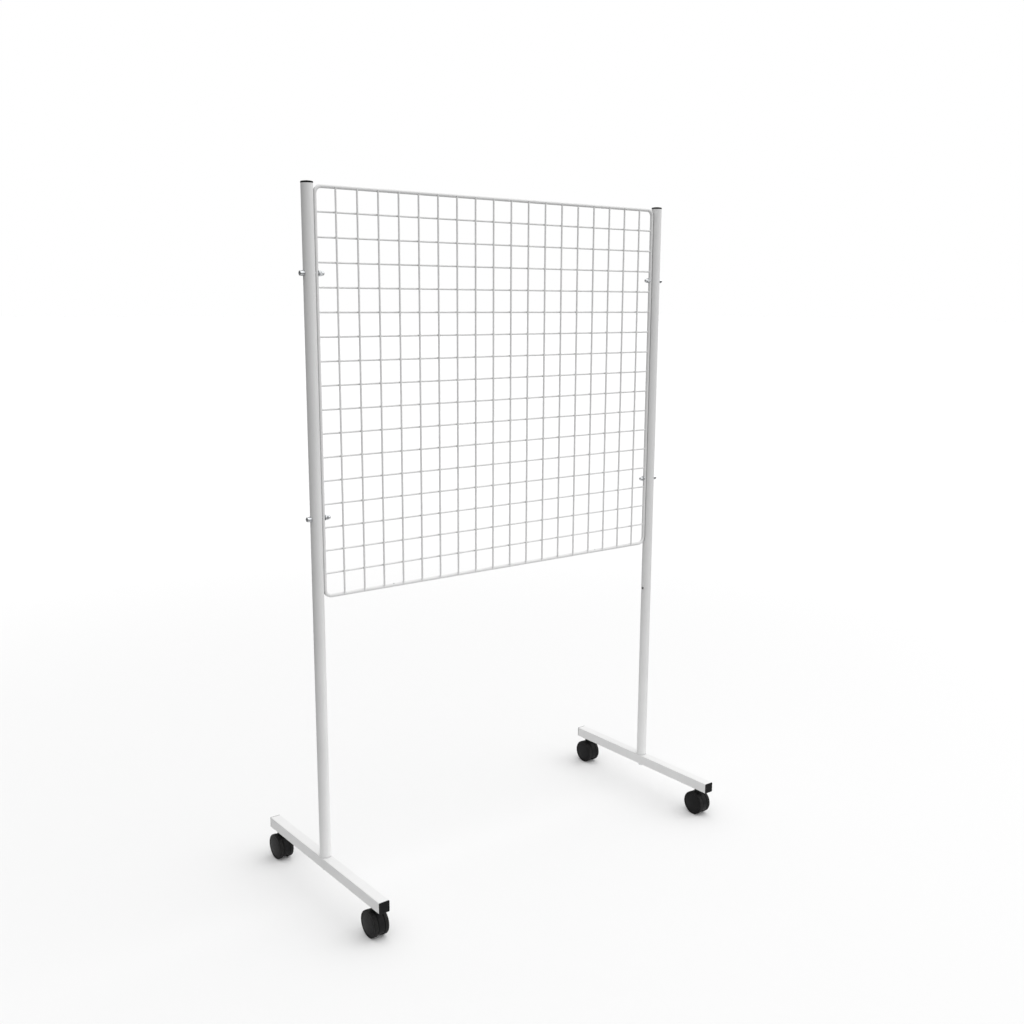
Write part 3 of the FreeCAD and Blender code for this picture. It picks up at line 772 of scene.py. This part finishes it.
class GRID_OT_cap_nuts(bpy.types.Operator):
    """Makes the domed nuts inside the panel: a chamfered hexagon that ends in a round dome"""

    bl_idname = "grid_panel.cap_nuts"
    bl_label = "Cap Nuts"

    def execute(self, context):
        segments = 60
        hex_height, neck_step, dome_r = 5.5 * MM, 0.15 * MM, 4.75 * MM
        seat_x = NUT_WASHER_OUT - WASHER_T
        length = seat_x - inner_end("cap_nuts")
        radii, heights = hexagon_block(
            CAP_NUT_FLATS, hex_height, CHAMFER_ANGLE, segments, both_ends=True)
        neck = np.full((1, segments), dome_r)
        curve = arc((0, length - dome_r), dome_r, 0, 90, 12)
        dome = np.repeat(curve[:, :1], segments, axis=1)
        radii = np.concatenate([np.zeros((1, segments)), radii, neck, dome])
        heights = np.concatenate([[[0.0]], heights, [[hex_height + neck_step]], curve[:, 1:]])
        nut = polar_grid(radii, heights, segments)
        grids = [aimed(nut, (-side, 0, 0), (side * seat_x, 0, z))
                 for side in (LEFT, RIGHT) for z in BOLT_ZS]
        piece = piece_from_grids("cap_nuts_domed", grids, smooth_below=30)
        dress(piece, "root", "zinc_plate", finish_for("zinc_plate"), "cap_nuts")
        return {"FINISHED"}


class GRID_OT_foot_bolts(bpy.types.Operator):
    """Makes the hexagon bolts under the feet"""

    bl_idname = "grid_panel.foot_bolts"
    bl_label = "Foot Bolts"

    def execute(self, context):
        segments = 60
        head = FOOT_BOLT_TOP - FOOT_BOLT_LOW
        shank_r = 4 * MM
        shank_top = high("foot_bolts").z - FOOT_BOLT_TOP
        radii, heights = hexagon_block(
            FOOT_BOLT_FLATS, head, CHAMFER_ANGLE, segments, both_ends=False)
        shank = np.full((2, segments), shank_r)
        radii = np.concatenate([np.zeros((1, segments)), shank, radii, np.zeros((1, segments))])
        heights = np.concatenate([[[-shank_top], [-shank_top], [0.0]], heights, [[head]]])
        bolt = polar_grid(radii, heights, segments)
        grids = [aimed(bolt, DOWN, (side * POST_X, 0, FOOT_BOLT_TOP)) for side in (LEFT, RIGHT)]
        piece = piece_from_grids("foot_bolts_hexagon", grids, smooth_below=30)
        dress(piece, "root", "zinc_plate", finish_for("zinc_plate"), "foot_bolts")
        return {"FINISHED"}


# ---------------------------------------------------------------- operators: casters
def caster_names():
    return [f"{end}_{side}" for side in SIDES for end in ENDS]


class GRID_OT_wheels(bpy.types.Operator):
    """Makes the eight wheels: crowned tread, rounded shoulders, rim, web and hub"""

    bl_idname = "grid_panel.wheels"
    bl_label = "Wheels"

    def execute(self, context):
        settings = context.scene.grid_detail
        segments = settings.round_segments
        shoulder, fit = 1.6 * MM, 0.05 * MM
        rim_inner, hub_r, edge, fillet = WHEEL_R - 3 * MM, 7 * MM, 0.4 * MM, 0.8 * MM
        seat_r, seat_depth = COVER_R + fit, 2 * MM
        web_outer = WHEEL_WIDTH - seat_depth
        web_inner = web_outer - 2.4 * MM
        bore_r, bore_edge = AXLE_R + fit, 0.3 * MM
        lip_inner, lip_outer, lip_drop = 0.3 * MM, 1.1 * MM, 0.3 * MM
        across = np.linspace(shoulder, WHEEL_WIDTH - shoulder, 9)
        share = 2 * (across - shoulder) / (WHEEL_WIDTH - 2 * shoulder) - 1
        tread = np.column_stack([WHEEL_R - settings.tread_crown * share ** 2, across])
        edge_r = WHEEL_R - settings.tread_crown - shoulder
        profile = np.concatenate([
            [[bore_r, bore_edge], [bore_r + bore_edge, 0], [hub_r - edge, 0], [hub_r, edge],
             [hub_r, web_inner - fillet]],
            arc((hub_r + fillet, web_inner - fillet), fillet, 180, 90, 4),
            arc((rim_inner - fillet, web_inner - fillet), fillet, 90, 0, 4),
            [[rim_inner, edge], [rim_inner + edge, 0]],
            arc((edge_r, shoulder), shoulder, -90, 0, 6)[:-1], tread,
            arc((edge_r, WHEEL_WIDTH - shoulder), shoulder, 0, 90, 6)[1:],
            [[seat_r + lip_outer + lip_drop, WHEEL_WIDTH],
             [seat_r + lip_outer, WHEEL_WIDTH - lip_drop],
             [seat_r + lip_inner, WHEEL_WIDTH - lip_drop],
             [seat_r, WHEEL_WIDTH - lip_drop - lip_inner],
             [seat_r, web_outer], [bore_r, web_outer]]])
        wheel = turned(profile, segments)
        distance = np.repeat(profile[:, :1], segments, axis=1)
        finish = finish_for("wheel_nylon")
        for caster in caster_names():
            for hand, side in SIDES.items():
                node = f"{caster}_{hand}_wheel"
                centre = middle(node)
                inner_x = centre.x - side * WHEEL_WIDTH / 2
                grid = aimed(wheel, (side, 0, 0), (inner_x, centre.y, centre.z))
                piece = piece_from_grids(node + "_turned", [grid], rows_wrap=True, rings=distance)
                dress(piece, f"{caster}_{hand}_wheel_set", "wheel_nylon", finish, node)
        return {"FINISHED"}


class GRID_OT_wheel_covers(bpy.types.Operator):
    """Makes the shallow domed discs on the wheels' outer faces"""

    bl_idname = "grid_panel.wheel_covers"
    bl_label = "Wheel Covers"

    def execute(self, context):
        segments = context.scene.grid_detail.round_segments
        flat, edge, back_edge = 2 * MM, 0.5 * MM, 0.2 * MM
        groove_outer, groove_mid, groove_inner, groove_depth = 0.9 * MM, 1.15 * MM, 1.4 * MM, 0.2 * MM
        rise = COVER_T - flat
        crown_r = COVER_R - 1.6 * MM
        out = np.linspace(0, 1, 16)[:, None]
        dome = np.column_stack([crown_r * (1 - out), flat + rise * (1 - (1 - out) ** 2)])
        profile = np.concatenate([
            [[0, 0], [COVER_R - back_edge, 0], [COVER_R, back_edge]],
            arc((COVER_R - edge, flat - edge), edge, 0, 90, 5),
            [[COVER_R - groove_outer, flat], [COVER_R - groove_mid, flat - groove_depth],
             [COVER_R - groove_inner, flat - groove_depth]], dome])
        cover = turned(profile, segments)
        distance = np.repeat(profile[:, :1], segments, axis=1)
        finish = finish_for("hood_nylon")
        for caster in caster_names():
            for hand, side in SIDES.items():
                node = f"{caster}_{hand}_cover"
                lowest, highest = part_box(node)
                inner_x = lowest.x if side == RIGHT else highest.x
                grid = aimed(cover, (side, 0, 0), (inner_x, middle(node).y, middle(node).z))
                piece = piece_from_grids(node + "_domed", [grid], rings=distance)
                dress(piece, f"{caster}_{hand}_wheel_set", "hood_nylon", finish, node)
        return {"FINISHED"}


# ---------------------------------------------------------------- operator: stage
def stage_floor(size):
    """A flat pale floor. To the camera it shows painted shade: it is darker round the stand and palest
    far off.
    Round the stand it bounces light up well; far off it bounces little, as a sheet of paper on a dark
    studio's floor does."""
    half = size / 2
    mesh = bpy.data.meshes.new("pale_floor")
    mesh.from_pydata([(-half, -half, 0), (half, -half, 0), (half, half, 0), (-half, half, 0)], [],
                     [(0, 1, 2, 3)])
    floor = bpy.data.objects.new("pale_floor", mesh)
    bpy.context.scene.collection.objects.link(floor)
    material = bpy.data.materials.new("floor_paper")
    material.use_nodes = True
    tree = material.node_tree
    tree.nodes.clear()
    place = tree.nodes.new("ShaderNodeTexCoord").outputs["Object"]
    distance = tree.nodes.new("ShaderNodeVectorMath")
    distance.operation = "LENGTH"
    tree.links.new(place, distance.inputs[0])

    def paper(near, far, near_distance, far_distance):
        fade = tree.nodes.new("ShaderNodeMapRange")
        fade.interpolation_type = "SMOOTHSTEP"
        for socket, number in (("From Min", near_distance), ("From Max", far_distance),
                               ("To Min", near), ("To Max", far)):
            fade.inputs[socket].default_value = number
        tree.links.new(distance.outputs["Value"], fade.inputs["Value"])
        diffuse = tree.nodes.new("ShaderNodeBsdfDiffuse")
        tree.links.new(fade.outputs["Result"], diffuse.inputs["Color"])
        return diffuse.outputs[0]

    # Painted shade: the floor the camera sees is painted darker (0.83) near the stand and paler (0.92)
    # far off.
    painted_shade_seen = paper(near=0.83, far=0.92, near_distance=1.2, far_distance=5)
    bounced = paper(near=0.86, far=0.20, near_distance=0.3, far_distance=1.7)
    path, mix = tree.nodes.new("ShaderNodeLightPath"), tree.nodes.new("ShaderNodeMixShader")
    output = tree.nodes.new("ShaderNodeOutputMaterial")
    tree.links.new(path.outputs["Is Camera Ray"], mix.inputs[0])
    tree.links.new(bounced, mix.inputs[1])
    tree.links.new(painted_shade_seen, mix.inputs[2])
    tree.links.new(mix.outputs[0], output.inputs["Surface"])
    mesh.materials.append(material)


def studio_surround(settings):
    """White to the camera. As light, its brightness is base + rise * height + lean * (direction
    along the camera's right hand), never below the darkest allowed."""
    world = bpy.data.worlds.new("studio_surround")
    bpy.context.scene.world = world
    world.use_nodes = True
    tree = world.node_tree
    tree.nodes.clear()
    direction = tree.nodes.new("ShaderNodeTexCoord").outputs["Generated"]
    right_hand = (math.cos(settings.camera_heading), -math.sin(settings.camera_heading), 0)
    slope = Vector(UP) * settings.surround_rise + Vector(right_hand) * settings.surround_lean
    along = tree.nodes.new("ShaderNodeVectorMath")
    along.operation = "DOT_PRODUCT"
    along.inputs[1].default_value = slope
    tree.links.new(direction, along.inputs[0])
    brightness = tree.nodes.new("ShaderNodeMath")
    brightness.operation = "ADD"
    brightness.inputs[1].default_value = settings.surround_base
    tree.links.new(along.outputs["Value"], brightness.inputs[0])
    darkest = 0.02
    kept_above = tree.nodes.new("ShaderNodeMath")
    kept_above.operation = "MAXIMUM"
    kept_above.inputs[1].default_value = darkest
    tree.links.new(brightness.outputs[0], kept_above.inputs[0])
    light, backdrop = tree.nodes.new("ShaderNodeBackground"), tree.nodes.new("ShaderNodeBackground")
    tree.links.new(kept_above.outputs[0], light.inputs["Strength"])
    light.inputs["Color"].default_value = WHITE
    backdrop.inputs["Color"].default_value = WHITE
    backdrop.inputs["Strength"].default_value = 1.0
    path, mix = tree.nodes.new("ShaderNodeLightPath"), tree.nodes.new("ShaderNodeMixShader")
    output = tree.nodes.new("ShaderNodeOutputWorld")
    tree.links.new(path.outputs["Is Camera Ray"], mix.inputs[0])
    tree.links.new(light.outputs[0], mix.inputs[1])
    tree.links.new(backdrop.outputs[0], mix.inputs[2])
    tree.links.new(mix.outputs[0], output.inputs["Surface"])


def softbox(name, place, target, size, power):
    """A square area light aimed at a point."""
    light = bpy.data.lights.new(name, "AREA")
    light.shape, light.size, light.energy = "SQUARE", size, power
    lamp = bpy.data.objects.new(name, light)
    lamp.matrix_world = Matrix.LocRotScale(
        Vector(place), (Vector(target) - Vector(place)).to_track_quat("-Z", "Y"), None)
    bpy.context.scene.collection.objects.link(lamp)


class GRID_OT_stage(bpy.types.Operator):
    """Sets the floor, the studio light and the camera"""

    bl_idname = "grid_panel.stage"
    bl_label = "Stage"

    def execute(self, context):
        settings = context.scene.grid_stage
        stage_floor(settings.floor_size)
        studio_surround(settings)
        middle_height = (0, 0, cad_box[1].z / 2)
        softbox("overhead_softbox", (0.6, -0.4, 3.4), middle_height, size=1.6, power=4)
        softbox("right_softbox", (2.6, -1.6, 2.2), middle_height, size=1.2, power=4)
        context.scene.view_settings.view_transform = "Standard"
        lens = bpy.data.cameras.new("shop_camera")
        lens.sensor_width, lens.lens = 36, settings.camera_lens
        lens.shift_x, lens.shift_y = settings.camera_shift
        lens.clip_start, lens.clip_end = 0.05, 500
        camera = bpy.data.objects.new("shop_camera", lens)
        context.scene.collection.objects.link(camera)
        turn = (Matrix.Rotation(-settings.camera_heading, 4, "Z")
                @ Matrix.Rotation(math.pi / 2 - settings.camera_tilt, 4, "X")
                @ Matrix.Rotation(settings.camera_roll, 4, "Z"))
        camera.matrix_world = Matrix.Translation(settings.camera_place) @ turn
        context.scene.camera = camera
        return {"FINISHED"}


# ---------------------------------------------------------------- panel and registration
STEPS = (
    GRID_OT_coat_frame, GRID_OT_crossing_welds, GRID_OT_end_welds, GRID_OT_post_caps,
    GRID_OT_foot_caps, GRID_OT_panel_bolts, GRID_OT_washers, GRID_OT_cap_nuts,
    GRID_OT_foot_bolts, GRID_OT_wheels, GRID_OT_wheel_covers, GRID_OT_stage,
)


class VIEW3D_PT_grid_panel(bpy.types.Panel):
    """Lists the settings and the steps that dress the stand"""

    bl_idname = "VIEW3D_PT_grid_panel"
    bl_label = "Grid Panel"
    bl_space_type = "VIEW_3D"
    bl_region_type = "UI"
    bl_category = "Grid Panel"

    def draw(self, context):
        for owner in ("grid_finish", "grid_detail", "grid_stage"):
            settings = getattr(context.scene, owner)
            column = self.layout.column(align=True)
            for name in settings.__annotations__:
                column.prop(settings, name)
        for step in STEPS:
            self.layout.operator(step.bl_idname)


SETTINGS = {
    "grid_finish": GridFinishSettings,
    "grid_detail": GridDetailSettings,
    "grid_stage": GridStageSettings,
}


def register():
    for kind in (*SETTINGS.values(), *STEPS, VIEW3D_PT_grid_panel):
        bpy.utils.register_class(kind)
    for name, kind in SETTINGS.items():
        setattr(bpy.types.Scene, name, PointerProperty(type=kind))


def unregister():
    for name in SETTINGS:
        delattr(bpy.types.Scene, name)
    for kind in (VIEW3D_PT_grid_panel, *reversed(STEPS), *SETTINGS.values()):
        bpy.utils.unregister_class(kind)


def main():
    register()
    for step in STEPS:
        area, action = step.bl_idname.split(".")
        getattr(getattr(bpy.ops, area), action)()


if __name__ == "__main__":
    main()
